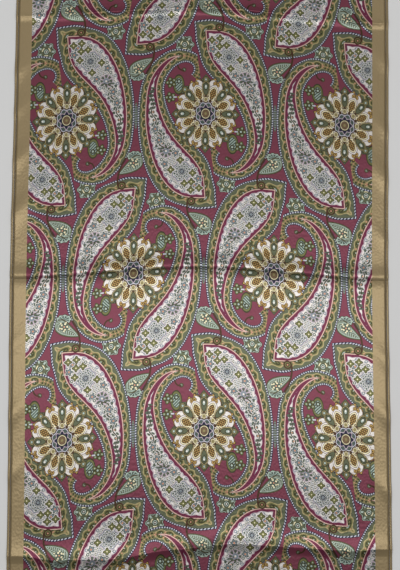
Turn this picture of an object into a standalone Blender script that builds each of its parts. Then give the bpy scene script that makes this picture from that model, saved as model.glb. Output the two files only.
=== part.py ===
"""A printed satin shawl, laid flat on a table and showing the creases it was folded on.

Metres, +Z up, +Y along the length towards the far end. The origin is under the middle of the
shawl, on the surface that it lies on. The underside is at z = 0 wherever the cloth rests, and
the two standing creases and the puckers of the side hems rise from there.
"""

import math

import bmesh
import bpy

MM = 0.001

# Finished size, hem to hem.
WIDTH = 640 * MM
LENGTH = 1800 * MM
WALL = 1.2 * MM

# Rolled hem: an oval roll, wider than it is high, round all four edges.
HEM_WIDTH = 4.4 * MM
HEM_HEIGHT = 2.6 * MM
SEAM_GAP = 0.3 * MM
CORNER_GAP = 0.6 * MM
HEM_ROUND_STEPS = 2

# The shawl was folded like a concertina into four equal panels.
PANEL = LENGTH / 4
FAR_CREASE = PANEL
MIDDLE_CREASE = 0.0
NEAR_CREASE = -PANEL

# The weft bows: the middle of each crosswise line lies further up than its two ends. The bow
# changes along the length, by this much more in each panel, differently on the two sides.
LEFT = -1
RIGHT = 1
BOW = 19 * MM
BOW_CHANGE = {LEFT: -4 * MM, RIGHT: 6 * MM}
BOW_LIMIT = 1.3
BOW_CENTRE = (BOW - BOW_CHANGE[LEFT] * BOW_LIMIT) / 2

# The shawl also lies a little to the left over its middle stretch.
SWAY = 3 * MM
SWAY_REACH = 260 * MM

# Standing creases: a sharp crest with hollow flanks that run out on the table.
# (place along the length, height at the middle, height at the hems, reach of one flank)
CREST_COLUMNS = ("along", "middle_height", "edge_height", "reach")
CRESTS = (
    (FAR_CREASE, 11 * MM, 7 * MM, 78 * MM),
    (NEAR_CREASE, 13 * MM, 8 * MM, 92 * MM),
)

# Pressed middle crease: a narrow groove between two low swells, whose curve t * (1 - t)**3
# is highest at a quarter of the reach.
GROOVE_SWELL = 2.2 * MM
GROOVE_REACH = 52 * MM
SWELL_TOP = 0.25 * 0.75**3

# Puckers where the hem thread draws the border in. Each starts at the outer edge and slants
# inwards and towards the far end.
PUCKER_SLANT = math.tan(math.radians(42))
PUCKER_COLUMNS = ("side", "along", "height", "half_width", "reach")
PUCKERS = (
    (LEFT, 842 * MM, 2.4 * MM, 15 * MM, 46 * MM),
    (LEFT, 716 * MM, 3.0 * MM, 20 * MM, 60 * MM),
    (LEFT, 590 * MM, 2.2 * MM, 14 * MM, 44 * MM),
    (LEFT, 352 * MM, 3.4 * MM, 18 * MM, 56 * MM),
    (LEFT, 282 * MM, 2.0 * MM, 12 * MM, 38 * MM),
    (LEFT, 196 * MM, 2.8 * MM, 16 * MM, 50 * MM),
    (LEFT, 104 * MM, 3.2 * MM, 20 * MM, 58 * MM),
    (LEFT, -118 * MM, 1.8 * MM, 14 * MM, 40 * MM),
    (LEFT, -232 * MM, 3.0 * MM, 18 * MM, 54 * MM),
    (LEFT, -330 * MM, 2.2 * MM, 13 * MM, 42 * MM),
    (LEFT, -596 * MM, 2.6 * MM, 16 * MM, 48 * MM),
    (LEFT, -728 * MM, 3.1 * MM, 19 * MM, 58 * MM),
    (LEFT, -830 * MM, 2.0 * MM, 13 * MM, 40 * MM),
    (RIGHT, 808 * MM, 2.7 * MM, 17 * MM, 52 * MM),
    (RIGHT, 668 * MM, 2.2 * MM, 14 * MM, 42 * MM),
    (RIGHT, 556 * MM, 3.0 * MM, 18 * MM, 54 * MM),
    (RIGHT, 376 * MM, 2.8 * MM, 16 * MM, 50 * MM),
    (RIGHT, 258 * MM, 2.1 * MM, 13 * MM, 40 * MM),
    (RIGHT, 172 * MM, 3.2 * MM, 19 * MM, 58 * MM),
    (RIGHT, 66 * MM, 2.0 * MM, 13 * MM, 40 * MM),
    (RIGHT, -142 * MM, 2.6 * MM, 17 * MM, 48 * MM),
    (RIGHT, -236 * MM, 3.3 * MM, 18 * MM, 56 * MM),
    (RIGHT, -362 * MM, 2.9 * MM, 15 * MM, 48 * MM),
    (RIGHT, -572 * MM, 2.3 * MM, 14 * MM, 44 * MM),
    (RIGHT, -690 * MM, 3.0 * MM, 19 * MM, 56 * MM),
    (RIGHT, -812 * MM, 2.4 * MM, 15 * MM, 46 * MM),
)

# Spacing of the cloth's rows and columns.
CREST_STEPS = (0, 3 * MM, 9 * MM, 18 * MM, 31 * MM, 48 * MM, 78 * MM)
GROOVE_STEPS = (0, 4 * MM, 13 * MM, 27 * MM, GROOVE_REACH)
ROW_SPACING = 24 * MM
EDGE_COLUMNS = 4
EDGE_BAND = 46 * MM
MIDDLE_COLUMNS = 14

GOLD = (0.27, 0.20, 0.095, 1.0)
BURGUNDY = (0.17, 0.035, 0.06, 1.0)


def rows_of(table, columns):
    """The rows of a short table as dictionaries keyed by the column names."""
    return [dict(zip(columns, row)) for row in table]


def crest_height(across, along):
    """Height of the two standing creases."""
    share = min(1.0, abs(across) / (WIDTH / 2))
    height = 0.0
    for crest in rows_of(CRESTS, CREST_COLUMNS):
        away = abs(along - crest["along"]) / crest["reach"]
        if away < 1.0:
            top = crest["middle_height"] + (crest["edge_height"] - crest["middle_height"]) * share**2
            height += top * (1.0 - away) ** 2
    return height


def groove_height(along):
    """Height of the swells on both sides of the pressed middle crease."""
    away = min(1.0, abs(along - MIDDLE_CREASE) / GROOVE_REACH)
    return GROOVE_SWELL * away * (1.0 - away) ** 3 / SWELL_TOP


def pucker_height(across, along):
    """Height of the slanting puckers along the two long edges."""
    side = LEFT if across < 0 else RIGHT
    inwards = WIDTH / 2 - abs(across)
    height = 0.0
    for pucker in rows_of(PUCKERS, PUCKER_COLUMNS):
        if pucker["side"] != side or inwards >= pucker["reach"]:
            continue
        aside = (along - pucker["along"] - inwards * PUCKER_SLANT) / pucker["half_width"]
        fade = (1.0 - inwards / pucker["reach"]) ** 1.5
        height += pucker["height"] * fade * math.exp(-(aside**2))
    return height


def rise(across, along):
    """Height of the cloth's underside over the table."""
    return crest_height(across, along) + groove_height(along) + pucker_height(across, along)


def bow_drop(across, along):
    """How far a point lies below the middle of its crosswise line."""
    share = min(1.0, abs(across) / (WIDTH / 2))
    panels = max(-BOW_LIMIT, min(BOW_LIMIT, along / PANEL))
    depth = BOW + BOW_CHANGE[LEFT if across < 0 else RIGHT] * panels
    return depth * share**2 * (3.0 - 2.0 * share)


def place(across, along, lift=0.0):
    """Where a point of the flat cloth lies once the shawl is on the table."""
    sway = SWAY * (0.5 - math.exp(-((along / SWAY_REACH) ** 2)))
    ahead = BOW_CENTRE - bow_drop(across, along)
    return (across + sway, along + ahead, rise(across, along) + lift)


def filled(marks, low, high, spacing):
    """The marks between low and high, with more between them where they are far apart."""
    inside = sorted({round(mark, 6) for mark in marks if low < mark < high} | {low, high})
    stations = [inside[0]]
    for start, stop in zip(inside, inside[1:]):
        steps = max(1, round((stop - start) / spacing))
        stations += [start + (stop - start) * step / steps for step in range(1, steps + 1)]
    return stations


def row_stations(end):
    """Places along the length that hold a row of points, closer together at the creases."""
    marks = []
    for crease in (FAR_CREASE, NEAR_CREASE):
        marks += [crease + side * step for step in CREST_STEPS for side in (-1, 1)]
    marks += [MIDDLE_CREASE + side * step for step in GROOVE_STEPS for side in (-1, 1)]
    return filled(marks, -end, end, ROW_SPACING)


def column_stations(end):
    """Places across the width that hold a column of points, closer together at the borders."""
    inner = end - EDGE_BAND
    edge = [inner + EDGE_BAND * step / EDGE_COLUMNS for step in range(1, EDGE_COLUMNS + 1)]
    middle = [-inner + 2 * inner * step / MIDDLE_COLUMNS for step in range(MIDDLE_COLUMNS + 1)]
    return [-across for across in reversed(edge)] + middle + edge


def material(name, colour, roughness):
    """A Principled material in one colour."""
    made = bpy.data.materials.new(name)
    made.use_nodes = True
    shader = made.node_tree.nodes["Principled BSDF"]
    shader.inputs["Base Color"].default_value = colour
    shader.inputs["Roughness"].default_value = roughness
    shader.inputs["Metallic"].default_value = 0.0
    return made


def make_cloth(collection):
    """The printed cloth: a grid laid in shape, with a wall that stands on its underside."""
    end_across = WIDTH / 2 - HEM_WIDTH - SEAM_GAP
    end_along = LENGTH / 2 - HEM_WIDTH - SEAM_GAP
    columns = column_stations(end_across)
    rows = row_stations(end_along)

    mesh = bpy.data.meshes.new("cloth")
    sheet = bmesh.new()
    bmesh.ops.create_grid(
        sheet, x_segments=len(columns) - 1, y_segments=len(rows) - 1, size=0.5
    )
    for point in sheet.verts:
        column = round((point.co.x + 0.5) * (len(columns) - 1))
        row = round((point.co.y + 0.5) * (len(rows) - 1))
        point.co = place(columns[column], rows[row])
    sheet.to_mesh(mesh)
    sheet.free()
    mesh.shade_smooth()

    cloth = bpy.data.objects.new("cloth", mesh)
    collection.objects.link(cloth)
    wall = cloth.modifiers.new("wall", "SOLIDIFY")
    wall.thickness = WALL
    wall.offset = 1.0
    cloth.data.materials.append(material("printed satin", BURGUNDY, 0.42))
    return cloth


def make_hem_section(guides):
    """The oval that a hem's roll follows."""
    data = bpy.data.curves.new("hem_section", "CURVE")
    data.dimensions = "2D"
    data.resolution_u = HEM_ROUND_STEPS
    oval = data.splines.new("BEZIER")
    corners = ((1, 0), (0, -1), (-1, 0), (0, 1))
    oval.bezier_points.add(len(corners) - 1)
    for point, (sideways, upwards) in zip(oval.bezier_points, corners):
        point.co = (sideways * HEM_WIDTH / 2, upwards * HEM_HEIGHT / 2, 0)
        point.handle_left_type = "AUTO"
        point.handle_right_type = "AUTO"
    oval.use_cyclic_u = True
    section = bpy.data.objects.new("hem_section", data)
    section.hide_render = True
    section.display_type = "WIRE"
    guides.objects.link(section)
    return section


def make_hem(name, collection, section, finish, route):
    """One rolled hem along a route of points, closed at both ends."""
    data = bpy.data.curves.new(name, "CURVE")
    data.dimensions = "3D"
    data.twist_mode = "Z_UP"
    data.bevel_mode = "OBJECT"
    data.bevel_object = section
    data.use_fill_caps = True
    path = data.splines.new("POLY")
    path.points.add(len(route) - 1)
    for point, spot in zip(path.points, route):
        point.co = (*spot, 1.0)
    hem = bpy.data.objects.new(name, data)
    collection.objects.link(hem)
    data.materials.append(finish)
    return hem


def make_hems(collection, guides):
    """Two long hems over the full length, and two short ones between them."""
    section = make_hem_section(guides)
    finish = material("plain gold satin", GOLD, 0.45)
    beside = WIDTH / 2 - HEM_WIDTH / 2
    beyond = LENGTH / 2 - HEM_WIDTH / 2
    lift = HEM_HEIGHT / 2
    for name, side in (("hem_left", LEFT), ("hem_right", RIGHT)):
        route = [place(side * beside, along, lift) for along in row_stations(LENGTH / 2)]
        make_hem(name, collection, section, finish, route)
    stop = WIDTH / 2 - HEM_WIDTH - CORNER_GAP
    for name, end in (("hem_far", 1), ("hem_near", -1)):
        route = [place(across, end * beyond, lift) for across in column_stations(stop)]
        make_hem(name, collection, section, finish, route)


def main():
    for thing in list(bpy.data.objects):
        bpy.data.objects.remove(thing, do_unlink=True)
    shawl = bpy.data.collections.new("shawl")
    guides = bpy.data.collections.new("guides")
    bpy.context.scene.collection.children.link(shawl)
    bpy.context.scene.collection.children.link(guides)
    make_cloth(shawl)
    make_hems(shawl, guides)


main()
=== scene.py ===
# %% [markdown]
# A printed satin shawl, laid flat
#
# The real shawl is one length of thin polyester satin, 64 cm by 180 cm. A paisley print covers
# its middle, a plain gold band runs round it, and a narrow rolled hem closes all four edges.
# It was stored folded in four, so three creases cross it, and the hem thread draws small
# puckers into its long borders.
#
# The CAD model gives the frame: a cloth and four hems in their places. This script puts a finer
# cloth and finer hems over them, draws the print with shader nodes, and lights the scene.

import math

import bpy
from mathutils import Matrix, Vector


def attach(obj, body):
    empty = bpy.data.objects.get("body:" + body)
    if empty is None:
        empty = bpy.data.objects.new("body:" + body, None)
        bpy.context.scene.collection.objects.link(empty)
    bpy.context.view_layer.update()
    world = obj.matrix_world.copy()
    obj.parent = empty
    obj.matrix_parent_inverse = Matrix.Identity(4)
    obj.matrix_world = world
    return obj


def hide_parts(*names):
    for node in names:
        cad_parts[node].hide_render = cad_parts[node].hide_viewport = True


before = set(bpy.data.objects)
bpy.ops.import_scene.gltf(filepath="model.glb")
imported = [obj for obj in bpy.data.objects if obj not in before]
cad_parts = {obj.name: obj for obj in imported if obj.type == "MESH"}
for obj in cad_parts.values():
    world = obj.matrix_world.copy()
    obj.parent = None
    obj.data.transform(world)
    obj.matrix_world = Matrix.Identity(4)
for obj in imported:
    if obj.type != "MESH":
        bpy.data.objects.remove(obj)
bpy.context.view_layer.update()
MM = 0.001
TURN = 2 * math.pi
print("CAD nodes:", sorted(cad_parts))

# %% [markdown]
# Sizes of the shawl
#
# These are the same driving sizes as in the CAD source, so that the fine cloth has the outline of
# the solid. Its creases are lower than the solid's, and the near one lies a little nearer. A cloth
# that is measured after it has been laid down is hard to describe. It is easier to name each point
# by its place on the flat cloth, across and along, and to let one function say where that point
# lies on the table.

# %% Finished size, creases and bow
WIDTH = 640 * MM
LENGTH = 1800 * MM
HEM_WIDTH = 4.4 * MM
HEM_HEIGHT = 2.6 * MM
SEAM_GAP = 0.3 * MM
CORNER_GAP = 0.6 * MM

PANEL = LENGTH / 4
FAR_CREASE = PANEL
MIDDLE_CREASE = 0.0
NEAR_CREASE = -PANEL

LEFT = -1
RIGHT = 1
BOW = 19 * MM
BOW_CHANGE = {LEFT: -4 * MM, RIGHT: 6 * MM}
BOW_LIMIT = 1.3
BOW_CENTRE = (BOW - BOW_CHANGE[LEFT] * BOW_LIMIT) / 2
SWAY = 3 * MM
SWAY_REACH = 260 * MM
print("four panels of", round(PANEL * 1000), "mm")

# %% Standing creases and the pressed middle crease
CREST_COLUMNS = ("along", "middle_height", "edge_height", "reach")
CRESTS = (
    (FAR_CREASE, 11 * MM, 7 * MM, 78 * MM),
    (NEAR_CREASE, 13 * MM, 8 * MM, 92 * MM),
)
# How far the near crease's line lies towards the near end, at places across the shawl. These
# are read from the photograph, where the line bends away from the print's crosswise rows.
NEAR_WANDER = (
    (-301 * MM, 8 * MM), (-236 * MM, 18 * MM), (-135 * MM, 25 * MM), (-34 * MM, 17 * MM),
    (67 * MM, 7 * MM), (168 * MM, 8 * MM), (254 * MM, 8 * MM), (303 * MM, 3 * MM),
)
CREST_SHARE = 0.4
CREST_FALL = 13 * MM
RISE_POWER = 5
FALL_POWER = 1.6
LONG_SWING = 236 * MM
SHORT_SWING = 87 * MM
LONG_SHARE = 0.15
SHORT_SHARE = 0.12
GROOVE_SWELL = 2.2 * MM
GROOVE_REACH = {"far": 32 * MM, "near": 52 * MM}
GROOVE_SHARE = {"far": 0.95, "near": 0.45}
SWELL_TOP = 0.25 * 0.75**3

# %% Puckers of the two long borders
PUCKER_SLANT = math.tan(math.radians(42))
PUCKER_COLUMNS = ("side", "along", "height", "half_width", "reach")
PUCKERS = (
    (LEFT, 842 * MM, 2.4 * MM, 15 * MM, 46 * MM),
    (LEFT, 716 * MM, 3.0 * MM, 20 * MM, 60 * MM),
    (LEFT, 590 * MM, 2.2 * MM, 14 * MM, 44 * MM),
    (LEFT, 352 * MM, 3.4 * MM, 18 * MM, 56 * MM),
    (LEFT, 282 * MM, 2.0 * MM, 12 * MM, 38 * MM),
    (LEFT, 196 * MM, 2.8 * MM, 16 * MM, 50 * MM),
    (LEFT, 104 * MM, 3.2 * MM, 20 * MM, 58 * MM),
    (LEFT, -118 * MM, 1.8 * MM, 14 * MM, 40 * MM),
    (LEFT, -232 * MM, 3.0 * MM, 18 * MM, 54 * MM),
    (LEFT, -330 * MM, 2.2 * MM, 13 * MM, 42 * MM),
    (LEFT, -596 * MM, 2.6 * MM, 16 * MM, 48 * MM),
    (LEFT, -728 * MM, 3.1 * MM, 19 * MM, 58 * MM),
    (LEFT, -830 * MM, 2.0 * MM, 13 * MM, 40 * MM),
    (RIGHT, 808 * MM, 2.7 * MM, 17 * MM, 52 * MM),
    (RIGHT, 668 * MM, 2.2 * MM, 14 * MM, 42 * MM),
    (RIGHT, 556 * MM, 3.0 * MM, 18 * MM, 54 * MM),
    (RIGHT, 376 * MM, 2.8 * MM, 16 * MM, 50 * MM),
    (RIGHT, 258 * MM, 2.1 * MM, 13 * MM, 40 * MM),
    (RIGHT, 172 * MM, 3.2 * MM, 19 * MM, 58 * MM),
    (RIGHT, 66 * MM, 2.0 * MM, 13 * MM, 40 * MM),
    (RIGHT, -142 * MM, 2.6 * MM, 17 * MM, 48 * MM),
    (RIGHT, -236 * MM, 3.3 * MM, 18 * MM, 56 * MM),
    (RIGHT, -362 * MM, 2.9 * MM, 15 * MM, 48 * MM),
    (RIGHT, -572 * MM, 2.3 * MM, 14 * MM, 44 * MM),
    (RIGHT, -690 * MM, 3.0 * MM, 19 * MM, 56 * MM),
    (RIGHT, -812 * MM, 2.4 * MM, 15 * MM, 46 * MM),
)
print("puckers:", len(PUCKERS))

# %% [markdown]
# How the cloth lies
#
# Each form of the cloth has its own small function of the place on the flat cloth, and the
# height is their sum. A cloth simulation could fold the shawl and open it again, but the
# creases would fall where the solver leaves them. Placed one by one, the creases stay where the
# photograph has them, and each has its own height and reach. The borders pucker in it too, but
# the places that the puckers have here could not be confirmed against it.

# %% Heights of the creases and the puckers
def rows_of(table, columns):
    """The rows of a short table as dictionaries keyed by the column names."""
    return [dict(zip(columns, row)) for row in table]


CREST_ROWS = rows_of(CRESTS, CREST_COLUMNS)
PUCKER_ROWS = rows_of(PUCKERS, PUCKER_COLUMNS)


def wander_of_near_crease(across):
    """How far the near crease's line lies towards the near end at a place across the shawl."""
    if across <= NEAR_WANDER[0][0]:
        return NEAR_WANDER[0][1]
    for (start, first), (stop, second) in zip(NEAR_WANDER, NEAR_WANDER[1:]):
        if across <= stop:
            share = (across - start) / (stop - start)
            return first + (second - first) * share**2 * (3.0 - 2.0 * share)
    return NEAR_WANDER[-1][1]


def crest_height(across, along):
    """Height of the two standing creases: a slow rise on the far side, a steep fall on the near one."""
    share = min(1.0, abs(across) / (WIDTH / 2))
    height = 0.0
    for crest in CREST_ROWS:
        beyond = along - crest["along"]
        if crest["along"] == NEAR_CREASE:
            beyond += wander_of_near_crease(across)
        away = beyond / crest["reach"] if beyond > 0 else -beyond / CREST_FALL
        if away < 1.0:
            top = crest["middle_height"] + (crest["edge_height"] - crest["middle_height"]) * share**2
            on_line = across + crest["along"]
            uneven = 1.0 + LONG_SHARE * math.sin(on_line * TURN / LONG_SWING)
            uneven += SHORT_SHARE * math.sin(on_line * TURN / SHORT_SWING)
            power = RISE_POWER if beyond > 0 else FALL_POWER
            height += CREST_SHARE * top * uneven * (1.0 - away) ** power
    return height


def groove_height(along):
    """Height of the swells beside the pressed middle crease: the far one is higher and narrower."""
    end = "far" if along > MIDDLE_CREASE else "near"
    away = min(1.0, abs(along - MIDDLE_CREASE) / GROOVE_REACH[end])
    return GROOVE_SHARE[end] * GROOVE_SWELL * away * (1.0 - away) ** 3 / SWELL_TOP


def pucker_height(across, along):
    """Height of the slanting puckers along the two long edges."""
    side = LEFT if across < 0 else RIGHT
    inwards = WIDTH / 2 - abs(across)
    height = 0.0
    for pucker in PUCKER_ROWS:
        if pucker["side"] != side or inwards >= pucker["reach"]:
            continue
        aside = (along - pucker["along"] - inwards * PUCKER_SLANT) / pucker["half_width"]
        fade = (1.0 - inwards / pucker["reach"]) ** 1.5
        height += pucker["height"] * fade * math.exp(-(aside**2))
    return height


# %% Where a point of the flat cloth lies on the table
def bow_drop(across, along):
    """How far a point lies below the middle of its crosswise line."""
    share = min(1.0, abs(across) / (WIDTH / 2))
    panels = max(-BOW_LIMIT, min(BOW_LIMIT, along / PANEL))
    depth = BOW + BOW_CHANGE[LEFT if across < 0 else RIGHT] * panels
    return depth * share**2 * (3.0 - 2.0 * share)


def place(across, along, lift=0.0):
    """Where a point of the flat cloth lies once the shawl is on the table."""
    sway = SWAY * (0.5 - math.exp(-((along / SWAY_REACH) ** 2)))
    ahead = BOW_CENTRE - bow_drop(across, along)
    rise = crest_height(across, along) + groove_height(along) + pucker_height(across, along)
    return (across + sway, along + ahead, rise + lift)


print("far crest at", [round(value, 4) for value in place(0.0, FAR_CREASE)])

# %% [markdown]
# The view
#
# The photograph was taken from nearly overhead and shows a little over half of the length.
# The far end is slightly smaller than the near one, which gives the tilt: the width is 372
# pixels at the top of the picture and 386 at the bottom.

# %% Camera
PICTURE_HEIGHT_ON_CLOTH = 963.5 * MM
VIEW_CENTRE = Vector((0.0, -15 * MM, 0.0))
VIEW_DISTANCE = 2.2
VIEW_TILT = math.radians(4.85)
VIEW_ROLL = math.radians(0.3)
FILM_HEIGHT = 36.0

camera_data = bpy.data.cameras.new("camera")
camera_data.sensor_fit = "VERTICAL"
camera_data.sensor_height = FILM_HEIGHT
camera_data.lens = FILM_HEIGHT * VIEW_DISTANCE / PICTURE_HEIGHT_ON_CLOTH
camera = bpy.data.objects.new("camera", camera_data)
bpy.context.scene.collection.objects.link(camera)
towards_eye = Vector((0.0, -math.sin(VIEW_TILT), math.cos(VIEW_TILT)))
camera.location = VIEW_CENTRE + towards_eye * VIEW_DISTANCE
tilted = Matrix.Rotation(VIEW_TILT, 3, "X")
camera.rotation_euler = (tilted @ Matrix.Rotation(VIEW_ROLL, 3, "Z")).to_euler()
bpy.context.scene.camera = camera
print("lens", round(camera_data.lens, 1), "mm")

# %% [markdown]
# Light
#
# Satin is all sheen, so the light matters as much as the cloth. The photograph shows one broad
# bright band across the cloth, a little nearer than its middle, and the ends are half as bright.
# One bright round lamp would give a spot. A long strip light overhead, across the shawl, mirrors
# as a band and makes every crease show. A softer panel towards the far end brightens the slopes
# that face away from the eye and leaves the near ones dark. A pale surround fills the rest.

# %% Panels and surround
SURROUND_STRENGTH = 0.19


def add_panel(name, spot, aim, size, power):
    """A soft rectangular light that faces a point."""
    data = bpy.data.lights.new(name, "AREA")
    data.shape = "RECTANGLE"
    data.size, data.size_y = size
    data.energy = power
    panel = bpy.data.objects.new(name, data)
    panel.location = spot
    panel.rotation_euler = (Vector(aim) - Vector(spot)).to_track_quat("-Z", "Y").to_euler()
    bpy.context.scene.collection.objects.link(panel)
    return panel


add_panel("strip_overhead", spot=(0.1, -0.02, 3.0), aim=(0.1, -0.12, 0.0), size=(2.8, 0.4), power=33.0)
add_panel("far_panel", spot=(-0.2, 1.7, 2.6), aim=(-0.1, 0.0, 0.0), size=(2.8, 1.3), power=11.0)

surround = bpy.data.worlds.new("surround")
bpy.context.scene.world = surround
surround.use_nodes = True
sky = surround.node_tree.nodes["Background"]
sky.inputs["Color"].default_value = (1.0, 1.0, 1.0, 1.0)
sky.inputs["Strength"].default_value = SURROUND_STRENGTH
bpy.context.scene.view_settings.view_transform = "Standard"

# %% [markdown]
# Drawing with nodes
#
# The print is a drawing of a few hundred small shapes. An image could hold it, but an image
# has pixels and this has none: each shape is a short formula that Cycles works out at every
# point. One function adds a node of any kind. What it returns can be added, multiplied and
# compared, so a formula reads as it would on paper.

# %% One function that adds a node
board = {"tree": None}


def to_linear(value):
    """A colour written as sRGB hex becomes linear; anything else stays as it is."""
    if not isinstance(value, str):
        return value
    shares = [int(value[start : start + 2], 16) / 255 for start in (1, 3, 5)]
    return [s / 12.92 if s <= 0.04045 else ((s + 0.055) / 1.055) ** 2.4 for s in shares] + [1.0]


class Reading:
    """What comes out of a node. A formula that is written with it adds the nodes that work it out."""

    def __init__(self, socket):
        self.socket = socket

    def __add__(self, other):
        return worked_out("ADD", self, other)

    def __radd__(self, other):
        return worked_out("ADD", other, self)

    def __sub__(self, other):
        return worked_out("SUBTRACT", self, other)

    def __rsub__(self, other):
        return worked_out("SUBTRACT", other, self)

    def __mul__(self, other):
        return worked_out("MULTIPLY", self, other)

    def __rmul__(self, other):
        return worked_out("MULTIPLY", other, self)

    def __truediv__(self, other):
        return worked_out("DIVIDE", self, other)

    def __lt__(self, other):
        return worked_out("LESS_THAN", self, other)

    def __gt__(self, other):
        return worked_out("GREATER_THAN", self, other)

    def __abs__(self):
        return node("Math.ABSOLUTE", self)


def worked_out(operation, first, second):
    """What a sign in a formula gives. Beside three numbers in brackets it acts on a whole way."""
    on_ways = isinstance(first, tuple) or isinstance(second, tuple)
    return node(("VectorMath." if on_ways else "Math.") + operation, first, second)


def node(kind, *feeds, points=None, **settings):
    """Adds a node, such as "Mix" or "Math.ADD", sets and links its inputs, and returns what it gives."""
    kind, _, operation = kind.partition(".")
    made = board["tree"].nodes.new("ShaderNode" + kind)
    if operation:
        made.operation = operation
    for name, value in settings.items():
        setattr(made, name, value)
    if points:
        curve = made.mapping.curves[0]
        curve.points[0].location = points[0]
        curve.points[-1].location = points[-1]
        for spot in points[1:-1]:
            curve.points.new(*spot)
        made.mapping.update()
        feeds = (1.0, *feeds)
    for socket, feed in zip([s for s in made.inputs if s.enabled], feeds):
        if isinstance(feed, Reading):
            board["tree"].links.new(feed.socket, socket)
        elif feed is not None:
            socket.default_value = to_linear(feed)
    given = [Reading(socket) for socket in made.outputs if socket.enabled]
    return given[0] if len(given) == 1 else given


# %% [markdown]
# The print on squared paper
#
# A printer's designer would draw one unit of the print on squared paper and repeat it. Here the
# paper has 380 squares across the shawl, 1.68 mm each. One unit is a round medallion with two
# botehs, the curled drops of a paisley, turned half round about it. The units stand in rows,
# 141 squares apart, and every second row is shifted by half a unit and mirrored.

# %% The squared paper and its colours
SQUARE = WIDTH / 380
UNIT_ACROSS = 141.0
UNIT_ALONG = 320.0
UNIT_CENTRE = (4.5, 158.5)
FOLD_LEAN = 0.15

GROUND = "#763a49"
NAVY = "#23233a"
BEAD = "#c3c5ce"
MOSS = "#5c614a"
GOLD = "#8b8057"
STRAW = "#a99b70"
CREAM = "#e3d9b4"
LEAF = "#3c3b26"
PINK = "#cfae9f"
WINE = "#6c2a43"
LILAC = "#b9a9b0"
MILK = "#dbd5cf"
SLATE = "#7f8890"
OLIVE = "#6c6d42"
BROWN = "#46301f"
SALMON = "#c08f74"
TEAL = "#4a584f"
PALE = "#a9b8ad"
UMBER = "#6f5a42"
AMBER = "#b59556"
print("one square is", round(SQUARE * 1000, 2), "mm")


# %% Small helpers for shapes
def paint(cloth, *coats):
    """Lays coats one on the other: each a colour and the conditions that all hold where it goes."""
    for colour, where, *more in coats:
        for condition in more:
            where = where * condition
        cloth = node("Mix", where, cloth, colour, data_type="RGBA")
    return cloth


def paint_steps(cloth, value, *steps, only=()):
    """Lays coats one on the other, each where the value is below a limit of its own."""
    return paint(cloth, *[(colour, value < limit, *only) for colour, limit in steps])


def between(value, low, high):
    """One where the value is between two limits, otherwise nought."""
    return (value > low) * (value < high)


def in_row(run, step, off):
    """The way from the nearest of many spots, which stand a step apart along a line."""
    return node("CombineXYZ", node("Math.WRAP", run, step / 2, -step / 2), off, 0.0)


def in_diamonds(u, v, step):
    """The way from the nearest of many spots, which stand a step apart on slanting lines."""
    slants = [node("Math.WRAP", slant, step / 2, -step / 2) for slant in (u + v, u - v)]
    return node("CombineXYZ", *slants, 0.0)


def bearing(way):
    """The angle of a way, from -pi to pi."""
    x, y, _ = node("SeparateXYZ", way)
    return node("Math.ARCTAN2", y, x)


def way_from_nearest(spot, centres):
    """The way from the nearest of several centres, so that one drawing serves them all."""
    way = spot - (*centres[0], 0.0)
    for centre in centres[1:]:
        other = spot - (*centre, 0.0)
        nearer = node("VectorMath.LENGTH", other) < node("VectorMath.LENGTH", way)
        way = node("Mix", nearer, way, other, data_type="VECTOR")
    return way


# %% [markdown]
# The boteh
#
# A boteh is a leaf that curls at its narrow end. Its middle line is drawn with five arcs, each
# tighter than the one before, as with a pair of compasses. A point is then known by how far it
# has run along that line and how far aside it lies, and every band of the border is a band of
# equal distance from the leaf's edge. The corner is taken from the head's own slope.

# %% The middle line of the boteh as five arcs
BOTEH_TIP = (-0.5, 86.0)
BOTEH_HEADING = math.radians(-41)
ARC_COLUMNS = ("length", "radius")
BOTEH_ARCS = ((50.0, 205.0), (76.0, 121.0), (36.7, 42.0), (25.1, 24.0), (18.2, 13.0))


def spine():
    """The arcs one after the other: centre, way out at the start, radius, and the run so far."""
    x, y = BOTEH_TIP
    heading = BOTEH_HEADING
    run = 0.0
    arcs = []
    for arc in rows_of(BOTEH_ARCS, ARC_COLUMNS):
        out = (-math.sin(heading), math.cos(heading))
        centre = (x - arc["radius"] * out[0], y - arc["radius"] * out[1])
        arcs.append(
            {
                "centre": (*centre, 0.0),
                "out": (*out, 0.0),
                "size": (arc["radius"], run, 0.0),
                "start": (x, y),
                "ahead": (math.cos(heading), math.sin(heading), 0.0),
            }
        )
        heading -= arc["length"] / arc["radius"]
        x = centre[0] - arc["radius"] * math.sin(heading)
        y = centre[1] + arc["radius"] * math.cos(heading)
        run += arc["length"]
    return arcs


# %% Half the width of its pale field along that line
FIELD_LOW_RUN = -30.0
FIELD_HIGH_RUN = 230.0
FIELD_LOW = -32.0
FIELD_HIGH = 20.0
FIELD_HALF_WIDTHS = (
    (-30, -32), (-14, -14.5), (0, 0), (6, 5.6), (12, 10.6), (20, 15.2), (30, 17.8), (40, 18.2),
    (50, 17.2), (60, 15.6), (72, 13.2), (86, 10.6), (100, 8.4), (115, 6.2), (130, 4.5),
    (145, 3.2), (160, 2.1), (170, 1.0), (178, -0.4), (186, -1.6), (230, -1.6),
)
HEAD_SLOPE = 0.69
BORDER_AT_HEAD = 10.2
BORDER_AT_TAIL = 6.8


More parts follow.
